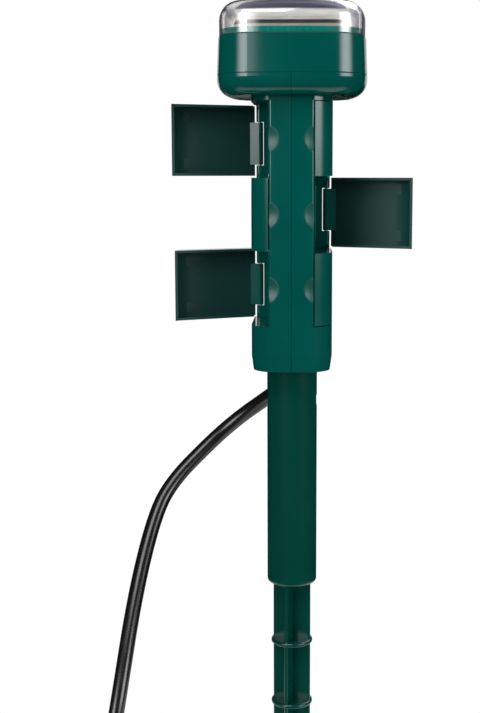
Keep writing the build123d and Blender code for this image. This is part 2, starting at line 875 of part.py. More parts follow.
# Ground spike: four fins and three rings, tapered to the tip, its top inside the tube
spike_top = tube_bottom + spike_engagement
with BuildPart() as spike_point:
    with BuildSketch(Plane.XZ):
        with BuildLine():
            Polyline(
                (0, 0),
                (spike_tip_radius, 0),
                (fin_reach, spike_taper),
                (fin_reach, spike_top),
                (0, spike_top),
                close=True,
            )
        make_face()
    revolve(axis=Axis.Z)

with BuildPart() as spike_rings:
    for level in ring_levels:
        with BuildSketch(Plane.XY.offset(level - ring_thickness / 2)):
            Circle(ring_reach)
        extrude(amount=ring_thickness)
    fillet(spike_rings.edges(), radius=ring_round)

with BuildPart() as ground_spike:
    with BuildSketch():
        with Locations(Location((0, 0, 0), (0, 0, fin_turn))):
            SlotOverall(2 * fin_reach, fin_thickness)
        with Locations(Location((0, 0, 0), (0, 0, fin_turn + 90))):
            SlotOverall(2 * fin_reach, fin_thickness)
    extrude(amount=spike_top)
    add(spike_point.part, mode=Mode.INTERSECT)
    add(spike_rings.part)
    for level in (tube_bottom + spike_land, spike_top - spike_land):
        with BuildSketch(Plane.XY.offset(level)):
            Circle(tube_radius - tube_wall - insert_fit)
        extrude(amount=spike_land)
save(ground_spike, "ground_spike")

# Strain relief of the supply cord: a barrel in the tube, a saddle flange, a grooved boot
boot_start = tube_radius + gland_flange_thickness
boot_end = boot_start + boot_length
boot_pitch = boot_length / (boot_grooves + 1)
with BuildPart() as gland_saddle:
    with BuildSketch(Plane.XY.offset(gland_level - gland_flange)):
        Circle(tube_radius)
        Circle(neck_outer, mode=Mode.SUBTRACT)
    extrude(amount=2 * gland_flange)
    with BuildSketch(Plane(origin=(0, 0, gland_level), z_dir=(0, 1, 0))):
        Circle(gland_barrel)
    extrude(amount=boot_end, mode=Mode.SUBTRACT)

with BuildPart() as cord_gland:
    with BuildSketch(Plane.YZ):
        with BuildLine():
            Polyline(
                (gland_inner, gland_level),
                (gland_inner, gland_level + gland_barrel),
                (neck_outer, gland_level + gland_barrel),
                (neck_outer, gland_level + gland_flange),
                (boot_start, gland_level + gland_flange),
                (boot_start, gland_level + boot_root),
                (boot_end, gland_level + boot_tip),
                (boot_end, gland_level),
                close=True,
            )
        make_face()
        for i in range(boot_grooves):
            centre = boot_start + boot_pitch * (i + 1)
            height = boot_root - (boot_root - boot_tip) * (i + 1) / (boot_grooves + 1)
            with Locations((centre, gland_level + height)):
                Rectangle(boot_groove, boot_groove, rotation=45, mode=Mode.SUBTRACT)
    revolve(axis=Axis((0, 0, gland_level), (0, 1, 0)))
    add(gland_saddle.part, mode=Mode.SUBTRACT)
save(cord_gland, "cord_gland")


def bend_radii(points):
    """Radius at each corner that uses the same share of the shorter of its two runs."""
    radii = []
    for before, here, after in zip(points, points[1:], points[2:]):
        arriving = Vector(*here) - Vector(*before)
        leaving = Vector(*after) - Vector(*here)
        half_turn = math.radians(arriving.get_angle(leaving)) / 2
        shorter = min(arriving.length, leaving.length)
        radii.append(cord_bend_share * shorter / math.tan(half_turn))
    return radii


# Supply cord from the strain relief down to the floor at the left
coil_start = (coil_left, coil_middle_y - 2 * cord_radius, cord_radius)
cord_landing = (coil_left, coil_middle_y - coil_lead, cord_radius)
cord_stretch = gland_level / cord_drop
hanging_bends = [(x, y, z * cord_stretch) for x, y, z in cord_bends]
cord_route = [(0, boot_end, gland_level), *hanging_bends, cord_landing, coil_start]
cord_radii = bend_radii(cord_route)
with BuildPart() as supply_cord:
    with BuildLine() as cord_line:
        FilletPolyline(*cord_route, radius=cord_radii)
    with BuildSketch(Plane(origin=cord_route[0], z_dir=(0, 1, 0))):
        Circle(cord_radius)
    sweep()
save(supply_cord, "supply_cord")

# Spare cord on the floor: a spiral in, a climb, and a spiral out on top of it
coil_turns = []
coil_x = coil_left
coil_z = cord_radius
turn_radius = coil_radius
for half_turn in range(8):
    toward = 1 if half_turn % 2 == 0 else -1
    climb = coil_step if half_turn == 4 else 0
    coil_turns.append((coil_x, coil_z, toward, turn_radius, climb))
    coil_x += toward * 2 * turn_radius
    coil_z += climb
    turn_radius += -coil_pitch / 2 if half_turn < 4 else coil_pitch / 2
coil_end = (coil_x + turn_radius + coil_pitch / 2, coil_middle_y + turn_radius + coil_pitch / 2)
with BuildPart() as cord_coil:
    with BuildLine() as coil_line:
        Line(coil_start, (coil_left, coil_middle_y, cord_radius))
        for x, z, toward, radius, climb in coil_turns:
            first = Vector(x, coil_middle_y, z)
            last = Vector(x + toward * 2 * radius, coil_middle_y, z + climb)
            reach = (last - first).length / 2
            halfway = (first + last) / 2 + Vector(0, toward * reach, 0)
            TangentArc(first, halfway, tangent=(0, toward, 0))
            TangentArc(last, halfway, tangent=(0, toward, 0))
        leave = Vector(coil_x, coil_middle_y, coil_z)
        outer = Vector(coil_end[0], coil_end[1], coil_z)
        TangentArc(leave, outer, tangent=(0, 1, 0))
        Line(outer, outer + Vector(2 * cord_radius, 0, 0))
    with BuildSketch(Plane(origin=coil_start, z_dir=(0, 1, 0))):
        Circle(cord_radius)
    sweep()
save(cord_coil, "cord_coil")

# Plug: a grooved boot, a round body with two flats, three prongs
plug_start = coil_end[0] + 2 * cord_radius
plug_y = coil_end[1]
plug_face = plug_start + plug_boot + plug_shoulder + plug_length
plug_groove_pitch = plug_boot / (boot_grooves + 1)
with BuildPart() as supply_plug:
    with BuildSketch(Plane(origin=(0, plug_y, coil_z), x_dir=(1, 0, 0), z_dir=(0, -1, 0))):
        with BuildLine():
            Polyline(
                (plug_start, 0),
                (plug_start, boot_tip),
                (plug_start + plug_boot, plug_neck),
                (plug_start + plug_boot + plug_shoulder, plug_radius),
                (plug_face - plug_edge, plug_radius),
                (plug_face, plug_radius - plug_edge),
                (plug_face, 0),
                close=True,
            )
        make_face()
        for i in range(boot_grooves):
            centre = plug_start + plug_groove_pitch * (i + 1)
            height = boot_tip + (plug_neck - boot_tip) * (i + 1) / (boot_grooves + 1)
            with Locations((centre, height)):
                Rectangle(boot_groove, boot_groove, rotation=45, mode=Mode.SUBTRACT)
    revolve(axis=Axis((0, plug_y, coil_z), (1, 0, 0)))
    with Locations((plug_start, plug_y, coil_z)):
        Box(
            plug_face - plug_start,
            2 * plug_half_width,
            2 * plug_radius,
            align=(Align.MIN, Align.CENTER, Align.CENTER),
            mode=Mode.INTERSECT,
        )
save(supply_plug, "supply_plug")

with BuildPart() as plug_blades:
    with BuildSketch(side_plane(plug_face, coil_z, plug_y)):
        with Locations((-slot_spacing / 2, blade_rise), (slot_spacing / 2, blade_rise)):
            Rectangle(blade_thickness, blade_height)
    extrude(amount=blade_length)
    with BuildSketch(side_plane(plug_face, coil_z, plug_y)):
        with Locations((0, blade_rise - ground_drop)):
            Circle(pin_prong_radius)
    extrude(amount=pin_prong_length)
save(plug_blades, "plug_blades")


def own_gap(wire):
    """Least gap between stretches of the coil's tube that lie over six cord widths apart."""
    step = cord_radius / 2
    count = int(wire.length / step)
    points = [tuple(wire.position_at(i / count)) for i in range(count + 1)]
    apart = int(12 * cord_radius / step)
    nearest = min(
        math.dist(points[i], points[j])
        for i in range(len(points))
        for j in range(i + apart, len(points))
    )
    return nearest - 2 * cord_radius


cord_section = math.pi * cord_radius**2
for piece, line in ((supply_cord, cord_line), (cord_coil, coil_line)):
    length = sum(edge.length for edge in line.line.edges())
    share = piece.part.volume / (cord_section * length)
    print(f"{piece.part.label}: {length:.1f} mm long, volume {share:.4f} of section times length")
print("cord bend radii:", [round(radius, 1) for radius in cord_radii])
print("least gap of the coil to itself:", round(own_gap(coil_line.wires()[0]), 2), "mm")
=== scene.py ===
# %% [markdown]
# # Garden socket spike
#
# A green power stake for the garden. A column of outlets stands on a tube and a ground spike,
# with a timer under a clear dome on top and a supply cord out of the back. The shapes come from
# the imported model. This lesson gives them a camera, a supple cord, surfaces and light.

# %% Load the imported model
import json
import math

import bmesh
import bpy
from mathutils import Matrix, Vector

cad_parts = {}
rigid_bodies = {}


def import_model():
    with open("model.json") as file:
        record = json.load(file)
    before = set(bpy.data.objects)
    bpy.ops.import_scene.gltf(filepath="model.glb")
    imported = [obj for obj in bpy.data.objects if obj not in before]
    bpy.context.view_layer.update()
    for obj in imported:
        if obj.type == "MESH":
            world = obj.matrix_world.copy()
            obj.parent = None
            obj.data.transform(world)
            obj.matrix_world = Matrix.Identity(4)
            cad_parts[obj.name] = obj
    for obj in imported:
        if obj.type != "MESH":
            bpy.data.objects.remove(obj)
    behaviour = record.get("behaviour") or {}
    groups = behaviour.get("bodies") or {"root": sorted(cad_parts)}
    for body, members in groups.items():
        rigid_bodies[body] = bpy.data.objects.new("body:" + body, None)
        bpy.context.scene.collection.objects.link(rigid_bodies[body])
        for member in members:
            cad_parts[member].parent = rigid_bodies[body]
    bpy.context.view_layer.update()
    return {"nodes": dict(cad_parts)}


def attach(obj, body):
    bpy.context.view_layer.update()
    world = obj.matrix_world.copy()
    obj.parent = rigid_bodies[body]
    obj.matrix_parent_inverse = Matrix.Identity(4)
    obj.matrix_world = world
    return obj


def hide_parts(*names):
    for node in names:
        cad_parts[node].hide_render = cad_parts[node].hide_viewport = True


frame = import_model()
nodes = frame["nodes"]
print("pieces in the packed model:", len(nodes))

# %% [markdown]
# ## Camera
#
# The picture was taken from a little above the middle outlets, with a long lens. The frame is
# 480 by 713 pixels, so the lens follows from a focal length of 1270 pixels over the taller side.
# The camera looks down by a little over 8 degrees and turns slightly left. A small sideways
# shift of the lens keeps the column upright where the photograph has it.

# %% Place the camera
FRAME_HEIGHT = 713
FOCAL_PIXELS = 1270
SENSOR = 36
LENS_SHIFT = -0.0631
CAMERA_PLACE = (0.012, -0.7185, 0.418)
LOOK_DOWN, TURN_LEFT = 8.25, 1.28


def put(name, data):
    """Put a new object in the scene, at the model's origin."""
    made = bpy.data.objects.new(name, data)
    bpy.context.scene.collection.objects.link(made)
    return made


camera_data = bpy.data.cameras.new("portrait_lens")
camera_data.sensor_width = SENSOR
camera_data.lens = FOCAL_PIXELS / FRAME_HEIGHT * SENSOR
camera_data.shift_x = LENS_SHIFT
camera = put("camera", camera_data)
camera.location = CAMERA_PLACE
camera.rotation_euler = (math.radians(90 - LOOK_DOWN), 0, math.radians(TURN_LEFT))
bpy.context.scene.camera = camera
print("lens:", round(camera_data.lens, 2), "mm")

# %% [markdown]
# ## Shader arithmetic
#
# Materials here are grown from patterns, so they need sums and products. Wiring each Math node
# by hand would hide the idea behind the plumbing. A small class wraps a socket instead, and
# Python's own signs then add the Math nodes.


# %% Wrap a socket
class Signal:
    """A number or colour on its way through a node tree."""

    def __init__(self, patch, socket):
        self.patch = patch
        self.socket = socket

    def _math(self, operation, first, second=0.0):
        return self.patch.node("ShaderNodeMath", {"operation": operation}, first, second)

    def __add__(self, other):
        return self._math("ADD", self, other)

    def __sub__(self, other):
        return self._math("SUBTRACT", self, other)

    def __mul__(self, other):
        return self._math("MULTIPLY", self, other)

    def __radd__(self, other):
        return self._math("ADD", other, self)

    def __rsub__(self, other):
        return self._math("SUBTRACT", other, self)

    def __rmul__(self, other):
        return self._math("MULTIPLY", other, self)

    def __lt__(self, other):
        return self._math("LESS_THAN", self, other)

    def __gt__(self, other):
        return self._math("GREATER_THAN", self, other)

    def size(self):
        """The number without its sign."""
        return self._math("ABSOLUTE", self)

    def most(self, other):
        """The greater of two."""
        return self._math("MAXIMUM", self, other)

    def ramp(self, low, high, start=0.0, end=1.0):
        """Rise smoothly from start to end while the signal goes from low to high."""
        settings = {"interpolation_type": "SMOOTHSTEP"}
        return self.patch.node("ShaderNodeMapRange", settings, self, low, high, start, end)


print("a signal can be added, subtracted, multiplied, compared and ramped")

# %% [markdown]
# A second class owns one node tree and adds every node through one method. It also knows what
# kind of ray is asking: the camera's own, or one that left a mirror or a clear wall.


# %% Grow a node tree
class Patch:
    """A node tree that grows one node at a time."""

    def __init__(self, tree):
        self.tree = tree

    def node(self, kind, settings=None, *values, out=0, **named):
        """Add a node, set it up first, then fill its inputs with numbers or signals."""
        made = self.tree.nodes.new(kind)
        for key, value in (settings or {}).items():
            setattr(made, key, value)
        for index, value in enumerate(values):
            self.fill(made.inputs[index], value)
        for key, value in named.items():
            self.fill(made.inputs[key], value)
        return Signal(self, made.outputs[out])

    def fill(self, socket, value):
        """Link a signal to a socket, or write a number on it. None leaves it as it is."""
        if isinstance(value, Signal):
            self.tree.links.new(value.socket, socket)
        elif value is not None:
            socket.default_value = value

    def blend(self, share, first, second):
        """Mix two colours by a signal. The Mix node has its colours on inputs 6 and 7."""
        pair = [tone if isinstance(tone, Signal) else (*tone, 1) for tone in (first, second)]
        skipped = [None] * 5
        return self.node("ShaderNodeMix", {"data_type": "RGBA"}, share, *skipped, *pair, out=2)

    def either(self, share, first, second):
        """The first shader where the share is 0, the second where it is 1."""
        return self.node("ShaderNodeMixShader", None, share, first, second)

    def length(self, vector):
        """How long a vector is."""
        return self.node("ShaderNodeVectorMath", {"operation": "LENGTH"}, vector, out="Value")

    def fold(self, value, span):
        """Run up to a span and back again, over and over."""
        return self.node("ShaderNodeMath", {"operation": "PINGPONG"}, value, span)

    def ray(self, kind):
        """One where the light path's ray is of this kind, such as Camera or Glossy."""
        return self.node("ShaderNodeLightPath", out=f"Is {kind} Ray")

    def straight(self):
        """One where the camera looks on directly, or through clear plastic with no mirroring."""
        unmirrored = self.node("ShaderNodeLightPath", out="Glossy Depth") < 0.5
        return self.ray("Camera").most(self.ray("Transmission") * unmirrored)


print("a patch adds one node at a time")

# %% [markdown]
# A third class is a whole material, with the patterns that several finishes share. Patterns read
# Object coordinates in metres, so a scale of 420 is a grain of about 2.4 mm, and a pattern stays
# with its piece when the piece swings.


# %% Start a material
class Finish(Patch):
    """One material, with its Principled shader ready to be filled."""

    def __init__(self, name):
        self.material = bpy.data.materials.new(name)
        self.material.use_nodes = True
        super().__init__(self.material.node_tree)
        self.shader = self.tree.nodes["Principled BSDF"]
        self.skin = Signal(self, self.shader.outputs["BSDF"])

    def place(self, axis=None):
        """Object coordinates in metres, whole or one axis of them."""
        whole = self.node("ShaderNodeTexCoord", out="Object")
        if axis is None:
            return whole
        return self.node("ShaderNodeSeparateXYZ", None, whole, out=axis)

    def stretched(self, scale):
        """Object coordinates scaled along each axis, to draw a pattern out."""
        return self.node("ShaderNodeMapping", None, self.place(), None, None, scale)

    def noise(self, scale, detail=2.0, rough=0.5, over=None):
        """Cloudy noise, over the plain coordinates or over others."""
        where = over or self.place()
        return self.node("ShaderNodeTexNoise", None, where, None, scale, detail, rough)

    def bump(self, height, strength, distance):
        """A normal that is tipped as if the surface rose by a distance in metres."""
        return self.node("ShaderNodeBump", None, strength, distance, Height=height)

    def set(self, **inputs):
        """Fill the Principled shader's sockets by name."""
        for key, value in inputs.items():
            if isinstance(value, tuple):
                value = (*value, 1)
            self.fill(self.shader.inputs[key.replace("_", " ")], value)

    def show(self, shader, part="Surface"):
        """Send a shader to the material's output."""
        self.fill(self.tree.nodes["Material Output"].inputs[part], shader)


print("a finish starts with a Principled shader")

# %% [markdown]
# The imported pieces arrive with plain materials. A finish goes on the object's own slot, so the
# mesh stays untouched. Most finishes need a lighter and a darker shade of their colour too.


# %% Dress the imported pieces
def dress(names, finish):
    """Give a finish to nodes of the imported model."""
    for name in names:
        for material_slot in nodes[name].material_slots:
            material_slot.link = "OBJECT"
            material_slot.material = finish.material
    print(finish.material.name, "on", len(names), "pieces")


def shade(colour, factor, lift=0.0):
    """The same colour, lighter or darker, and lifted a little if asked."""
    return tuple(channel * factor + lift for channel in colour)


print("slots to dress:", sum(len(node.material_slots) for node in nodes.values()))

# %% [markdown]
# ## Supply cord
#
# The real cord is a black round lead of the outdoor kind, 9.6 mm thick and about 1.9 m long. It
# leaves the strain relief behind the tube, sags out to the left and falls to the ground. What the
# photograph doesn't show is wound in a flat coil behind the spike. One NURBS line of low order
# follows the listed points, so that the bends stay as smooth as rubber makes them.

# %% Points of the hanging part, from the strain relief to the ground
CORD_RADIUS = 0.0048
hanging = [
    (0, 0.03825, 0.289),
    (0, 0.061, 0.289),
    (-0.0065, 0.083, 0.283),
    (-0.019, 0.0995, 0.2715),
    (-0.036, 0.1085, 0.258),
    (-0.0545, 0.1085, 0.242),
    (-0.082, 0.093, 0.2155),
    (-0.0915, 0.078, 0.194),
    (-0.100, 0.050, 0.153),
    (-0.106, 0.0205, 0.1015),
    (-0.111, 0.0115, 0.0695),
    (-0.114, 0.013, 0.048),
    (-0.1155, 0.0225, 0.028),
    (-0.1165, 0.0385, 0.013),
    (-0.117, 0.0585, 0.0048),
    (-0.117, 0.080, 0.0048),
]
print("points on the hanging part:", len(hanging))

# %% [markdown]
# The coil is a spiral in along the ground, one climbing half turn, and a spiral out on top. Each
# half turn has eight points. A line of this order runs just inside its points, so they sit a
# little further out than the turn they make.

# %% Points of the coil
COIL_LEFT, COIL_MIDDLE = -0.117, 0.0896
WIDEST_TURN = 0.062
PITCH, STEP = 0.0104, 0.0102
PER_HALF = 8
HALVES, CLIMBING = 8, 4
outside = 1 / (0.75 + 0.25 * math.cos(math.pi / PER_HALF))


def turn_points(left, toward, radius, level, climb, count):
    """Points along a half turn that starts at left and level, or along its first part."""
    for i in range(count):
        angle = math.pi * (i + 0.5) / PER_HALF
        yield (
            left + toward * radius * (1 - math.cos(angle) * outside),
            COIL_MIDDLE + toward * radius * math.sin(angle) * outside,
            level + climb * (1 - math.cos(angle)) / 2,
        )


coil = []
left, level, radius = COIL_LEFT, CORD_RADIUS, WIDEST_TURN
for half in range(HALVES):
    toward = 1 if half % 2 == 0 else -1
    climb = STEP if half == CLIMBING else 0
    coil += turn_points(left, toward, radius, level, climb, PER_HALF)
    left += toward * 2 * radius
    level += climb
    radius += -PITCH / 2 if half < CLIMBING else PITCH / 2
radius += PITCH / 2
coil += turn_points(left, 1, radius, level, 0, PER_HALF // 2)
coil_end = (left + radius, COIL_MIDDLE + radius, level)
plug_start = (coil_end[0] + 2 * CORD_RADIUS, coil_end[1], level)
print("points in the coil:", len(coil))

# %% [markdown]
# The plug's body is soft and lies on the coil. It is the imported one, copied and pressed a little
# flatter towards its lowest point, as vinyl settles under its own weight.

# %% Make the plug's body
PLUG_PRESS = 0.94
SAME_POINT = 0.00001
plug_shape = bmesh.new()
plug_shape.from_mesh(nodes["supply_plug"].data)
bmesh.ops.remove_doubles(plug_shape, verts=plug_shape.verts, dist=SAME_POINT)
plug_floor = min(vertex.co.z for vertex in plug_shape.verts)
bmesh.ops.translate(plug_shape, vec=(0, 0, -plug_floor), verts=plug_shape.verts)
bmesh.ops.scale(plug_shape, vec=(1, 1, PLUG_PRESS), verts=plug_shape.verts)
bmesh.ops.translate(plug_shape, vec=(0, 0, plug_floor), verts=plug_shape.verts)
bmesh.ops.recalc_face_normals(plug_shape, faces=plug_shape.faces)
plug_mesh = bpy.data.meshes.new("lead_plug")
plug_shape.to_mesh(plug_mesh)
plug_shape.free()
lead_plug = put("lead_plug", plug_mesh)
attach(lead_plug, "column")
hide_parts("supply_plug")
print("faces of the plug's body:", len(plug_mesh.polygons))

# %% [markdown]
# The line then runs from the strain relief to the plug in one go. Its order and its end points
# are set after the points, because set before, they leave straight runs.

# %% Draw the cord
route = hanging + coil + [coil_end, plug_start]
cord_curve = bpy.data.curves.new("supply_lead", "CURVE")
cord_curve.dimensions = "3D"
cord_curve.bevel_depth = 1.0
cord_curve.bevel_resolution = 6
cord_curve.resolution_u = 10
cord_curve.use_fill_caps = True
line = cord_curve.splines.new("NURBS")
line.points.add(len(route) - 1)
for point, place in zip(line.points, route):
    point.co = (*place, 1)
    point.radius = CORD_RADIUS
line.order_u = 3
line.use_endpoint_u = True
supply_lead = put("supply_lead", cord_curve)
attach(supply_lead, "column")
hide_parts("supply_cord", "cord_coil")
print("length of the line:", round(line.calc_length(), 3), "m")

# %% [markdown]
# ## Green plastic
#
# The column, covers, head, tube and spike are moulded in one deep blue-green plastic. It is even
# in colour, with a very fine spark-eroded grain that the light catches, faint flow marks down
# its length, and a soft gloss. The grain is a bump from noise. The flow marks only change the
# colour and roughness by a few parts in a hundred. A piece's own details, such as a seam, each
# change the tone or the roughness in one place, so they are small functions to choose from.

# %% Mix the green
FINE_GRAIN, FINEST_GRAIN = 0.000015, 0.00001
FLOW_SCALE, CLOUD_SCALE, DUST_SCALE, PIT_SCALE = 9, 38, 420, 2600
FLOW_DRAWN_OUT = (1.0, 1.0, 0.22)


def green_plastic(name, colour, gloss, details=(), grain=FINE_GRAIN):
    """Moulded green plastic, with a piece's own details on top."""
    finish = Finish(name)
    flow = finish.noise(FLOW_SCALE, 3, 0.55, finish.stretched(FLOW_DRAWN_OUT))
    cloud = finish.noise(CLOUD_SCALE, 2, 0.5)
    dust = finish.noise(DUST_SCALE, 3, 0.6)
    pits = finish.noise(PIT_SCALE, 2, 0.6)
    mottle = (flow * 0.7 + cloud * 0.3).ramp(0.3, 0.7)
    tone = finish.blend(mottle, shade(colour, 0.86), shade(colour, 1.12))
    tone = finish.blend(dust.ramp(0.66, 0.8) * 0.25, tone, shade(colour, 1.5, 0.01))
    rough = gloss + (mottle - 0.5) * 0.05 + (dust - 0.5) * 0.06
    for detail in details:
        tone, rough = detail(finish, colour, tone, rough)
    finish.set(Base_Color=tone, Roughness=rough, Specular_IOR_Level=0.55)
    finish.set(Normal=finish.bump(pits * 0.6 + dust * 0.4, 0.5, grain))
    return finish


print("finest grain of the green:", FINEST_GRAIN * 1000, "mm high")

# %% [markdown]
# The two halves of the housing meet in a fine dark line down the middle of the front. On the head,
# the thin lip above the band is a paler green: a painted highlight, for the light that comes
# through the dome onto it. Both lines are drawn from the piece's own coordinates, which needs no
# thin geometry.

# %% Draw the seam and the painted highlight on the lip
SEAM_HALF_WIDTH, SEAM_END = 0.0001, 0.00032
CASE_TOP = 0.490
LIP_EDGE = 0.0003


def seam(finish, colour, tone, rough):
    """A dark line where the two halves meet."""
    line = 1 - finish.place("X").size().ramp(SEAM_HALF_WIDTH, SEAM_END)
    return finish.blend(line * 0.75, tone, shade(colour, 0.25)), rough


def painted_lit_lip(finish, colour, tone, rough):
    """A paler green above the band: a painted highlight for the light through the dome."""
    above = finish.place("Z").ramp(CASE_TOP, CASE_TOP + LIP_EDGE)
    # Painted highlight: the lip above the band is lifted to a paler green.
    return finish.blend(above, tone, shade(colour, 2.2)), rough


print("the lip starts", CASE_TOP, "m up")

# %% [markdown]
# The inside of each cover is left rougher than its polished outside, and darker with painted
# shade. The inside is where a face looks towards the column's middle, so its normal and its place
# have opposite signs along X. The thumb scoops are slices of spheres, one each side of every row,
# and are a little duller than the front. A point is in a scoop when it is a scoop's radius from
# its centre.

# %% Dull the linings and paint shade on them, and dull the scoops
TURNED_INWARD = (-0.003, -0.007)
LINING_PAINTED_SHADE, LINING_ROUGHER = 0.58, 0.43
SCOOP_ASIDE, SCOOP_AHEAD, FIRST_ROW = 0.0164, -0.044, 0.35415
SCOOP_RADIUS = 0.020
SCOOP_EDGE = (SCOOP_RADIUS + 0.0004, SCOOP_RADIUS + 0.0002)
SCOOP_ROUGHER = 0.25
ROW_PITCH = 0.0409
ROWS_LOW, ROWS_HIGH = 0.334, 0.4565
ROWS_EDGE = 0.0005


def painted_shade_lining(finish, colour, tone, rough):
    """Rough on a cover's inside, and darkened there with painted shade."""
    turned = finish.node("ShaderNodeTexCoord", out="Normal")
    inward = finish.node("ShaderNodeSeparateXYZ", None, turned, out="X") * finish.place("X")
    inside = inward.ramp(*TURNED_INWARD)
    # Painted shade: the inside of each cover is darkened to 0.58 of its green.
    shaded_inside_tone = finish.blend(inside, tone, shade(colour, LINING_PAINTED_SHADE))
    return shaded_inside_tone, rough + inside * LINING_ROUGHER


def scoops(finish, colour, tone, rough):
    """Duller in the thumb scoops of the three rows."""
    aside = finish.place("X").size() - SCOOP_ASIDE
    ahead = finish.place("Y") - SCOOP_AHEAD
    height = finish.place("Z")
    off_row = finish.fold(height - FIRST_ROW, ROW_PITCH / 2)
    away = finish.length(finish.node("ShaderNodeCombineXYZ", None, aside, ahead, off_row))
    scooped = away.ramp(*SCOOP_EDGE)
    scooped = scooped * height.ramp(ROWS_LOW, ROWS_LOW + ROWS_EDGE)
    scooped = scooped * height.ramp(ROWS_HIGH, ROWS_HIGH - ROWS_EDGE)
    return tone, rough + scooped * SCOOP_ROUGHER


print("rows", round(ROW_PITCH * 1000, 1), "mm apart")

# %% [markdown]
# Each moulding then has its own polish. The column's halves are the shiniest, and the inserts of
# the outlets are the dullest. The tube and the spike get a slightly darker green.

# %% Put the green on
DEEP_GREEN = (0.0003, 0.084, 0.070)
STAKE_GREEN = (0.0002, 0.054, 0.040)
INSERT_GREEN = (0.0003, 0.06, 0.047)
sides = [(side, row) for side in ("left", "right") for row in (1, 2, 3)]
dress(
    ["left_housing", "right_housing"],
    green_plastic("column green", DEEP_GREEN, 0.13, [seam, scoops]),
)
dress(
    [f"cover_{side}_{row}" for side, row in sides],
    green_plastic("cover green", DEEP_GREEN, 0.17, [painted_shade_lining]),
)
dress(
    [f"outlet_insert_{side}_{row}" for side, row in sides],
    green_plastic("insert green", INSERT_GREEN, 0.36),
)
dress(
    ["timer_case"],
    green_plastic("case green", DEEP_GREEN, 0.15, [painted_lit_lip], FINEST_GRAIN),
)
dress(["stake_tube", "ground_spike"], green_plastic("stake green", STAKE_GREEN, 0.17))

# %% [markdown]
# ## Black rubber
#
# The lead, its strain relief and its plug are soft black vinyl, with a dull sheen, a fine grain
# and a little garden dust. The lead is the smoothest of them, as it comes out of a polished die.
# The seal under the dome is the same rubber in green.

# %% Mix the rubber
SCUFF_SCALE, RUBBER_SCALE = 120, 1500


def soft_rubber(name, colour, gloss, shine=0.5):
    """Grained rubber with dust in its scuffs."""
    finish = Finish(name)
    scuff = finish.noise(SCUFF_SCALE, 4, 0.6)
    grain = finish.noise(RUBBER_SCALE, 2, 0.6)
    tone = finish.blend(scuff.ramp(0.5, 0.8) * 0.35, colour, shade(colour, 2.6, 0.004))
    finish.set(Base_Color=tone, Roughness=gloss + (scuff - 0.5) * 0.15)
    finish.set(Specular_IOR_Level=shine)
    finish.set(Normal=finish.bump(grain * 0.7 + scuff * 0.3, 0.5, 0.00003))
    return finish


lead_black = soft_rubber("lead black", (0.008, 0.008, 0.008), 0.26, shine=0.75)
moulded_black = soft_rubber("moulded black", (0.010, 0.010, 0.011), 0.5)
supply_lead.data.materials.append(lead_black.material)
lead_plug.data.materials.append(moulded_black.material)
dress(["cord_gland"], moulded_black)
dress(["dome_gasket"], soft_rubber("gasket green", (0.001, 0.045, 0.038), 0.6))

# %% [markdown]
# ## Metal
#
# The prongs and contact strips are brass, rolled in one direction. The pins are drawn steel and
# the screws are zinc plated. Fine noise, drawn out along the rolling or drawing direction, gives
# the marks, and larger noise gives dull stains.

# %% Mix the metals
ALONG_X, ALONG_Z, ALL_ROUND = (0.1, 1, 1), (1, 1, 0.1), (1, 1, 1)
MARK_SCALE, STAIN_SCALE = 900, 60


def drawn_metal(name, colour, direction, rough):
    """Bare metal with fine marks in one direction."""
    finish = Finish(name)
    marks = finish.noise(MARK_SCALE, 3, 0.6, finish.stretched(direction))
    dull = finish.noise(STAIN_SCALE, 3, 0.6).ramp(0.45, 0.8)
    tone = finish.blend(dull * 0.5, colour, shade(colour, 0.7))
    finish.set(Base_Color=tone, Metallic=1.0, Roughness=rough + marks * 0.15 + dull * 0.1)
    finish.set(Normal=finish.bump(marks, 0.4, 0.00003))
    return finish


blade_brass = drawn_metal("blade brass", (0.80, 0.62, 0.30), ALONG_X, 0.22)
strip_brass = drawn_metal("strip brass", (0.74, 0.53, 0.24), ALONG_Z, 0.3)
pin_steel = drawn_metal("pin steel", (0.62, 0.62, 0.63), ALONG_Z, 0.28)
screw_zinc = drawn_metal("screw zinc", (0.58, 0.60, 0.63), ALL_ROUND, 0.34)
dress(["plug_blades"], blade_brass)
dress(["neutral_strip", "hot_strip", "ground_strip"], strip_brass)
dress(["cover_hinge_pins", "dome_hinge_pin"], pin_steel)
dress(["side_screws", "case_screws"], screw_zinc)

# %% [markdown]
# ## Timer panel
#
# Under the dome sits a beige panel with a paler face and rubber buttons. A dark band along the top
# of the panel's side is a painted shadow of the gap under the face. The mouldings have a fine
# matte grain. The board inside is the usual green, and the relay is a dark moulded box.

# %% Mix the panel's finishes
MATTE_SCALE = 2200
GAP_SHADOW_START, GAP_SHADOW_EDGE = 0.4956, 0.0004
GAP_SHADOW_DARK = (0.04, 0.042, 0.05)


def moulded(name, colour, gloss, grain=0.00005, gap_shadow=False):
    """Matte moulded plastic, with a painted shadow of a gap above a height if asked."""
    finish = Finish(name)
    cloud = finish.noise(60, 3, 0.55)
    tone = finish.blend(cloud.ramp(0.35, 0.65), shade(colour, 0.93), shade(colour, 1.05))
    # Painted shadow: a dark band along the top of the panel's side, where the gap under the face
    # lies.
    if gap_shadow:
        above = finish.place("Z").ramp(GAP_SHADOW_START, GAP_SHADOW_START + GAP_SHADOW_EDGE)
        tone = finish.blend(above, tone, GAP_SHADOW_DARK)
    finish.set(Base_Color=tone, Roughness=gloss + (cloud - 0.5) * 0.12)
    finish.set(Specular_IOR_Level=0.3)
    finish.set(Normal=finish.bump(finish.noise(MATTE_SCALE, 2, 0.6), 0.5, grain))
    return finish


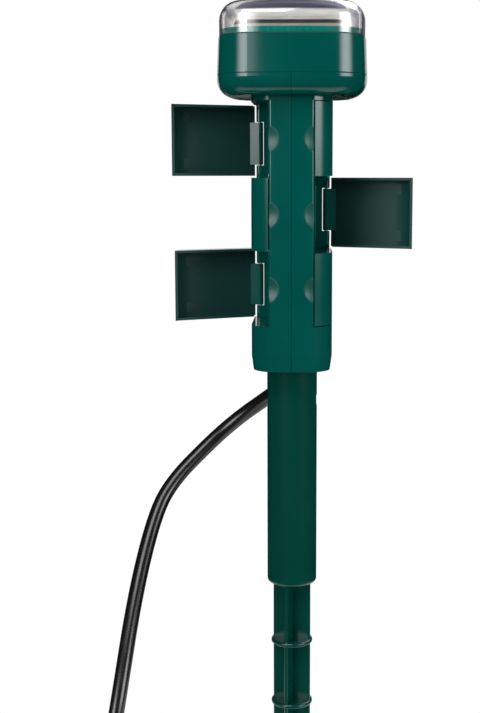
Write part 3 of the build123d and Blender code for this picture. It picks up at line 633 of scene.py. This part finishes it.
buttons = ["mode_button", "hour_button", "minute_button", "override_button"]
dress(["timer_panel"], moulded("panel beige", (0.40, 0.37, 0.32), 0.45, gap_shadow=True))
dress(["panel_face"], moulded("face pale", (0.58, 0.565, 0.52), 0.5))
dress(buttons, moulded("button rubber", (0.02, 0.10, 0.085), 0.6, 0.00008))
dress(["relay"], moulded("relay dark", (0.02, 0.025, 0.03), 0.35))
dress(["control_board"], moulded("board green", (0.01, 0.12, 0.045), 0.3))

# %% [markdown]
# The display is a polished window with unlit cells under it. The cells are drawn by folding the
# X coordinate over and over. Wherever it comes back to zero there is a thin dark line, so a cell
# is twice the fold wide. A coat over the grey gives the window its polish.

# %% Mix the display
HALF_CELL, CELL_LINE = 0.0034, (0.0002, 0.0005)
display = Finish("display grey")
cells = display.fold(display.place("X"), HALF_CELL)
haze = display.noise(50, 2, 0.5)
cell_tone = display.blend(cells.ramp(*CELL_LINE), (0.16, 0.18, 0.13), (0.21, 0.235, 0.17))
display.set(Base_Color=cell_tone, Roughness=0.12 + haze * 0.08)
display.set(Coat_Weight=0.6 + haze * 0.2, Coat_Roughness=0.05)
dress(["display_window"], display)

# %% [markdown]
# ## Clear dome
#
# The dome is a thin clear shell with a few fine scratches. It bends the light as real clear
# plastic does, so the case's lip and the panel show through it. Where its wall is seen edge on,
# and where the front wall turns into the flat top, its base colour is a deep violet grey: painted
# shade, for the dark that a thick clear edge shows. Layer Weight finds the first, and the
# coordinates find the second. Each pair of numbers is where a soft edge starts and where it is
# complete.

# %% Find the dome's edges
DOME_TOP = 0.5084
GRAZING = (0.62, 0.86)
TOP_WITHIN, TOP_ABOVE = (0.034, 0.030), (DOME_TOP - 0.004, DOME_TOP - 0.0025)
TURN_BEYOND, TURN_ABOVE = (0.0335, 0.0355), (DOME_TOP - 0.0068, DOME_TOP - 0.0054)
TURN_AHEAD = (0.03, 0.005)
dome = Finish("dome clear")
from_middle = dome.place("X").size().most(dome.place("Y").size())
height = dome.place("Z")
flat_top = from_middle.ramp(*TOP_WITHIN) * height.ramp(*TOP_ABOVE)
facing = dome.node("ShaderNodeLayerWeight", None, 0.5, out="Facing")
edge_on = facing.ramp(*GRAZING) * (1 - flat_top)
turn = height.ramp(*TURN_ABOVE) * from_middle.ramp(*TURN_BEYOND)
turn = turn * dome.place("Y").ramp(*TURN_AHEAD)
print("the front wall turns", round(TURN_ABOVE[1] * 1000, 1), "mm up")

# %% [markdown]
# A glossy coat lies over the shell and carries the white highlights of the softboxes. It stops at
# the painted dark edges, which are also rougher, so that they stay dark. Light from the lamps
# passes straight through to the panel and only loses a little on the way.

# %% Mix the clear plastic
EDGE_SHADE_VIOLET = (0.008, 0.009, 0.050)
WALL_TINT = (0.86, 0.86, 0.84)
SMOKE_TINT, SMOKE_DENSITY = (0.25, 0.22, 0.40), 15
haze = dome.noise(30, 3, 0.55)
fine = dome.noise(700, 2, 0.5, dome.stretched((1, 0.06, 0.06))).ramp(0.7, 0.76)
clear_tone = dome.blend(haze.ramp(0.4, 0.7), (0.99, 0.985, 0.96), (0.97, 0.96, 0.93))
# Painted shade: the edge-on wall and the turn to the flat top take a dark violet base colour.
dome_tone = dome.blend(edge_on.most(turn * 0.97), clear_tone, EDGE_SHADE_VIOLET)
dome_rough = 0.02 + haze * 0.02 + fine * 0.05 + (turn * 0.6).most(edge_on * 0.3)
dome.set(Base_Color=dome_tone, Roughness=dome_rough)
dome.set(Transmission_Weight=1.0, IOR=1.5, Specular_IOR_Level=0.6)
dome.set(Coat_Weight=1 - edge_on.most(turn), Coat_IOR=1.9, Coat_Roughness=0.03)
window = dome.node("ShaderNodeBsdfTransparent", None, (*WALL_TINT, 1))
dome.show(dome.either(dome.ray("Shadow"), dome.skin, window))
smoke = dome.node("ShaderNodeVolumeAbsorption", None, (*SMOKE_TINT, 1), SMOKE_DENSITY)
dome.show(smoke, "Volume")
dress(["clear_dome"], dome)

# %% [markdown]
# ## Floor
#
# A pale floor lies at the spike's tip. It is one flat face, wide enough to reach the horizon.

# %% Lay the floor
FLOOR_HALF = 30
floor_shape = bmesh.new()
bmesh.ops.create_grid(floor_shape, x_segments=1, y_segments=1, size=FLOOR_HALF)
floor_mesh = bpy.data.meshes.new("pale_floor")
floor_shape.to_mesh(floor_mesh)
floor_shape.free()
floor = put("pale_floor", floor_mesh)
print("floor laid at the spike's tip,", 2 * FLOOR_HALF, "m wide")

# %% [markdown]
# Seen by the camera the floor glows an even white, apart from the object's faint shadow close by,
# where some of the real surface is left. Polished surfaces see only a pool of it, round and behind
# the spike. Seen through the dome, the far floor behind the stake is white too.

# %% Light the floor
POOL_REACH, POOL_BACK = (0.45, 0.2), (-0.2, 0.0)
SHADOW_REACH, SHADOW_WHITE = (0.12, 0.25), 0.86
FAR_BEHIND = (0.3, 0.8)
floor_finish = Finish("pale floor")
floor_finish.set(Base_Color=(0.86, 0.86, 0.86), Roughness=0.9, Specular_IOR_Level=0.1)
direct = floor_finish.straight()
reach = floor_finish.length(floor_finish.place())
pool = reach.ramp(*POOL_REACH) * floor_finish.place("Y").ramp(*POOL_BACK)
clean = reach.ramp(*SHADOW_REACH, SHADOW_WHITE, 1.0)
beyond = floor_finish.ray("Transmission") * floor_finish.place("Y").ramp(*FAR_BEHIND)
glow_tone = floor_finish.blend(direct.most(pool).most(beyond), (0, 0, 0), (1, 1, 1))
glow = floor_finish.node("ShaderNodeEmission", None, glow_tone, 1.0)
glowing = (direct * clean).most(floor_finish.ray("Glossy")).most(beyond)
floor_finish.show(floor_finish.either(glowing, floor_finish.skin, glow))
floor.data.materials.append(floor_finish.material)
print("the pool fades out", POOL_REACH[0], "m from the spike")

# %% [markdown]
# ## Light
#
# Behind the stake hangs a white backdrop that only the camera, glass and polished surfaces
# turned to the back can see, so it adds no light to the object. The studio in front is dark,
# apart from two tall softboxes, which draw the long soft stripes down the head and the covers.
# Between the stripes the green stays deep. A faint fill keeps the shadows open.

# %% Show the white backdrop
WORLD_FILL = 0.05
MIRRORED_BEHIND, BENT_BEHIND = (0.9, 1.0), (-0.97, -0.8)
bpy.context.scene.view_settings.view_transform = "Standard"
world = bpy.data.worlds.new("studio")
world.use_nodes = True
bpy.context.scene.world = world
sky = Patch(world.node_tree)
toward = sky.node("ShaderNodeTexCoord", out="Generated")
sideways, depth, climb = (
    sky.node("ShaderNodeSeparateXYZ", None, toward, out=axis) for axis in "XYZ"
)
mirrored = sky.ray("Glossy") * depth.ramp(*MIRRORED_BEHIND)
bent = sky.ray("Transmission") * depth.ramp(*BENT_BEHIND)
backdrop = sky.straight().most(mirrored).most(bent)
fill_light = (1 - sky.ray("Glossy")) * WORLD_FILL
print("fill light from all round:", WORLD_FILL)

# %% [markdown]
# The softboxes are painted on the world as soft-edged patches. Each has an angle from straight
# ahead where it starts, two where it is full, and one where it ends. Both fade out downwards, so
# the stripes fade towards the bottom of the column, and upwards, above the dome's highlights.

# %% Paint the softboxes
SOFTBOX_RADIANCE = 7.0
LEFT_BOX = (16, 31, 38, 64)
RIGHT_BOX = (30, 52, 62, 86)
BOX_HEIGHTS = (-8, 6, 16, 28)


def stripe(angle, edges):
    """One between two edges, with a soft side each: start, full, waning and end."""
    start, full, waning, end = edges
    return angle.ramp(start, full) * angle.ramp(end, waning)


round_right = sky.node("ShaderNodeMath", {"operation": "ARCTAN2"}, sideways, 0 - depth)
left_box = stripe(0 - round_right, [math.radians(angle) for angle in LEFT_BOX])
right_box = stripe(round_right, [math.radians(angle) for angle in RIGHT_BOX])
tall = stripe(climb, [math.sin(math.radians(angle)) for angle in BOX_HEIGHTS])
softboxes = (left_box + right_box) * tall * SOFTBOX_RADIANCE
background = sky.tree.nodes["Background"]
background.inputs["Color"].default_value = (1, 1, 1, 1)
sky.fill(background.inputs["Strength"], backdrop + (1 - backdrop) * (fill_light + softboxes))
print("softboxes painted with radiance", SOFTBOX_RADIANCE)

# %% [markdown]
# Two real lamps light the plastic itself. One hangs high in front, on the left. The other hangs
# high behind, on the right, where the dome doesn't mirror it to the camera.


# %% Hang the lamps
def soft_lamp(name, place, target, width, height, radiance):
    """Softbox of an even radiance, in units where white is one."""
    lamp = bpy.data.lights.new(name, "AREA")
    lamp.shape = "RECTANGLE"
    lamp.size = width
    lamp.size_y = height
    lamp.energy = math.pi * width * height * radiance
    stand = put(name, lamp)
    stand.location = place
    stand.rotation_euler = (Vector(target) - Vector(place)).to_track_quat("-Z", "Y").to_euler()
    print(name, "at", place, "with", round(lamp.energy, 1), "W")


soft_lamp(
    "high lamp",
    place=(-0.35, -0.75, 1.25),
    target=(0, 0, 0.4),
    width=0.8,
    height=0.5,
    radiance=5.0,
)
soft_lamp(
    "rear lamp",
    place=(0.9, 1.1, 1.7),
    target=(0, 0, 0.3),
    width=1.3,
    height=1.3,
    radiance=4.0,
)

# %% [markdown]
# ## Finish
#
# Last, the view layer is brought up to date.

# %% Finish
bpy.context.view_layer.update()
